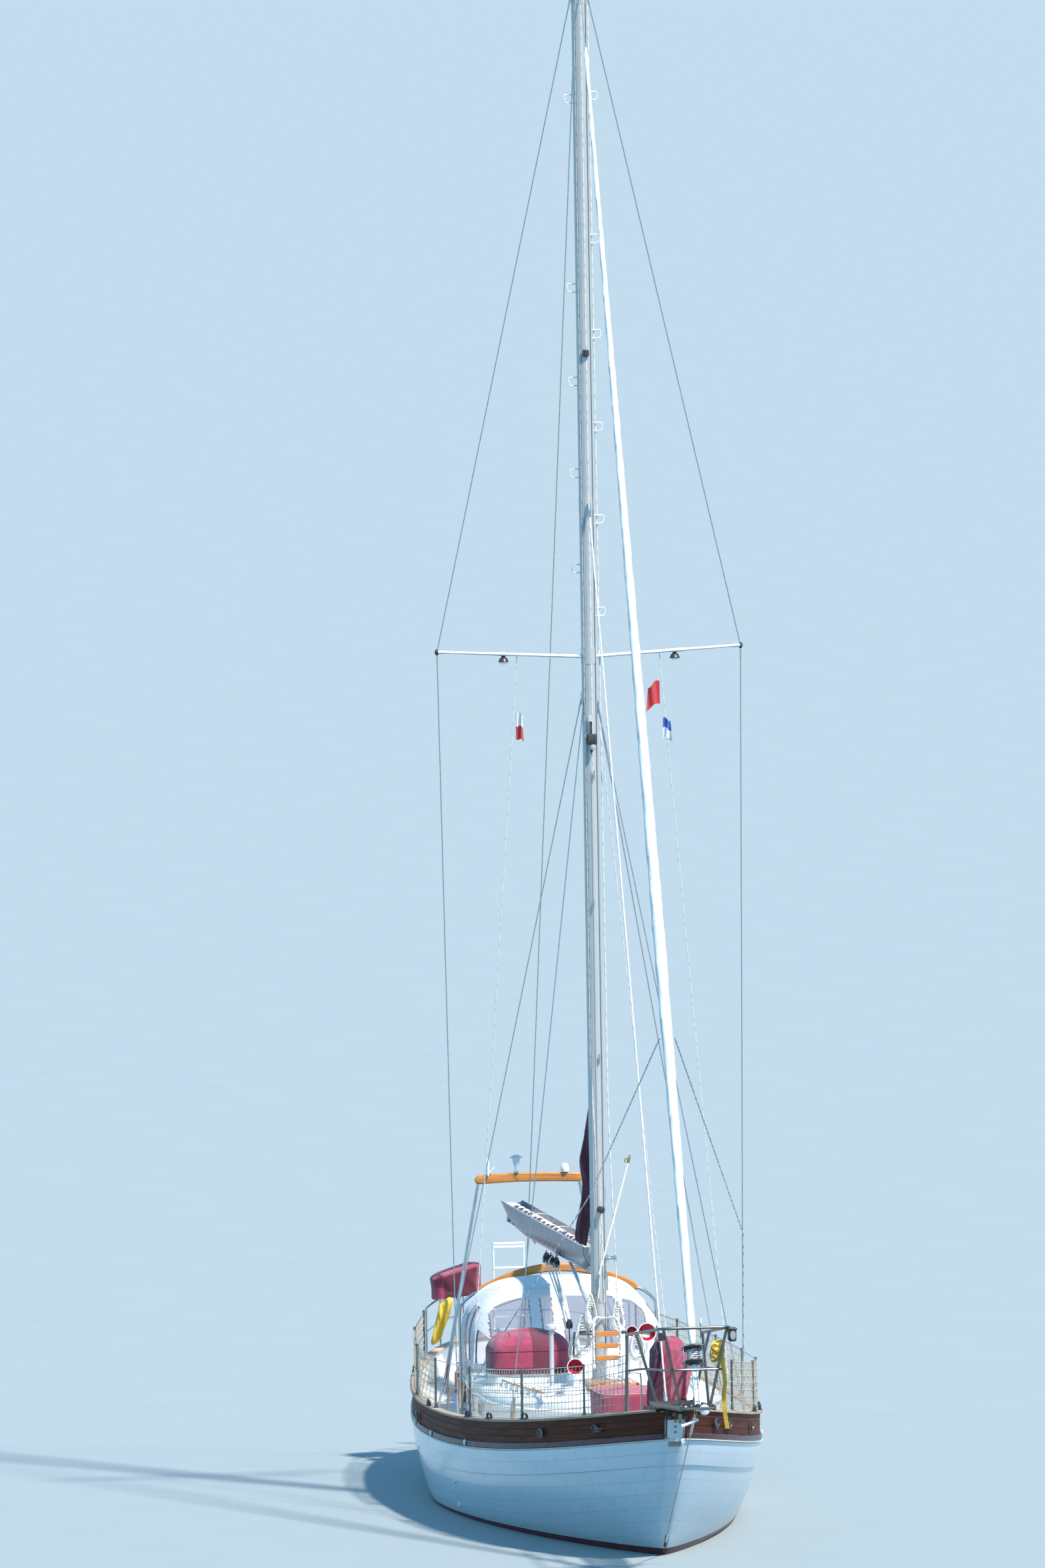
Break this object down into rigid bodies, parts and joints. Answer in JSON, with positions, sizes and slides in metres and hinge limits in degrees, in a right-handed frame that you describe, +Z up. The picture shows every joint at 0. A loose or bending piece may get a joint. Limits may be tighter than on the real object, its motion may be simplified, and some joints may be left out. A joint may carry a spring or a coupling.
{
  "type": "sailing yacht",
  "caption": "Long-keeled cutter-rigged sailing yacht with a canoe stern, raised deckhouse, planked bulwarks, furled headsail, trough boom, sprayhood, gallows and stern arch.",
  "frame": {"origin": "on the centreline at the waterline, about amidships", "axes": "+X to the bow, +Y to port, +Z up"},
  "size_m": [13.3987, 3.65, 19.06],
  "materials": {
    "hull_white": "glossy white gelcoat",
    "deck_white": "matt off-white non-slip",
    "antifoul": "matt dark red antifouling",
    "plank": "weathered dark brown planks",
    "cap": "weathered tan",
    "varnish": "varnished",
    "steel": "polished stainless",
    "spar": "anodised light grey",
    "wire": "stainless wire",
    "sail": "white sailcloth",
    "canvas": "white canvas",
    "burgundy": "burgundy canvas",
    "yellow": "yellow cloth",
    "black": "satin black",
    "bronze": "aged bronze",
    "engine": "grey-green paint"
  },
  "bodies": {
    "hull": {"hull": "hull_white", "steering_pedestal": "hull_white", "cowl_vent_fore": "hull_white", "cowl_vent_port": "hull_white", "deckhouse": "hull_white", "deck": "deck_white", "ballast_keel": "antifoul", "bulwark_port": "plank", "bulwark_starboard": "plank", "caprail_port": "cap", "caprail_starboard": "cap", "bow_platform": "varnish", "cockpit_coaming": "varnish", "gallows_arch": "varnish", "stern_arch_beam": "varnish", "pulpit": "steel", "guardrail_port": "steel", "guardrail_starboard": "steel", "pushpit": "steel", "gallows_leg_port": "steel", "gallows_leg_starboard": "steel", "stern_arch_leg_port": "steel", "stern_arch_leg_starboard": "steel", "ladder_bracket": "steel", "mast": "spar", "spreader_port": "spar", "spreader_starboard": "spar", "cap_shroud_port": "wire", "cap_shroud_starboard": "wire", "aft_lower_port": "wire", "aft_lower_starboard": "wire", "fore_lower_port": "wire", "fore_lower_starboard": "wire", "backstay": "wire", "inner_forestay": "wire", "bobstay": "wire", "forestay": "wire", "sprayhood": "canvas", "luff_cover": "burgundy", "hatch_hood": "burgundy", "foredeck_cover": "burgundy", "sail_bag": "burgundy", "quarter_cover": "burgundy", "rescue_sling": "yellow", "engine_block": "engine"},
    "boom": {"boom": "spar", "flaked_mainsail": "sail", "boom_strut": "spar"},
    "rudder": {"rudder_blade": "antifoul", "rudder_stock": "bronze"},
    "wheel": {"steering_wheel": "varnish"},
    "propeller": {"propeller": "bronze"},
    "furler": {"furled_headsail": "sail", "furler_drum": "black"},
    "sliding_hatch": {"sliding_hatch": "varnish"},
    "fore_hatch": {"fore_hatch_lid": "varnish"},
    "ladder": {"boarding_ladder": "hull_white"}
  },
  "joints": [
    {"name": "boom_swing", "type": "hinge", "parent": "hull", "child": "boom", "pos_m": [0.49, 0, 2.83], "axis": [0, 0, 1], "range_deg": [-45.5, 38.5]},
    {"name": "rudder_turn", "type": "hinge", "parent": "hull", "child": "rudder", "pos_m": [-4.3164, 0, -0.7], "axis": [-0.4441, 0, 0.896], "range_deg": [-35, 35]},
    {"name": "wheel_turn", "type": "hinge", "parent": "hull", "child": "wheel", "pos_m": [-3.83, 0, 1.13], "axis": [1, 0, 0], "range_deg": [-250, 250]},
    {"name": "propeller_spin", "type": "hinge", "parent": "hull", "child": "propeller", "pos_m": [-4.03, 0, -0.86], "axis": [1, 0, 0], "continuous": true},
    {"name": "furler_spin", "type": "hinge", "parent": "hull", "child": "furler", "pos_m": [7.32, 0, 1.93], "axis": [-0.3919, 0, 0.92], "continuous": true},
    {"name": "hatch_slide", "type": "slide", "parent": "hull", "child": "sliding_hatch", "axis": [1, 0, 0], "range_m": [0, 0.64]},
    {"name": "fore_hatch_lift", "type": "hinge", "parent": "hull", "child": "fore_hatch", "pos_m": [1.775, 0, 1.548], "axis": [0, 1, 0], "range_deg": [0, 100]},
    {"name": "ladder_fold", "type": "hinge", "parent": "hull", "child": "ladder", "pos_m": [-5.975, 0, 1.44], "axis": [0, -1, 0], "range_deg": [0, 178]}
  ],
  "couplings": [
    {"joint": "wheel_turn", "follows": "rudder_turn", "ratio": 7}
  ]
}
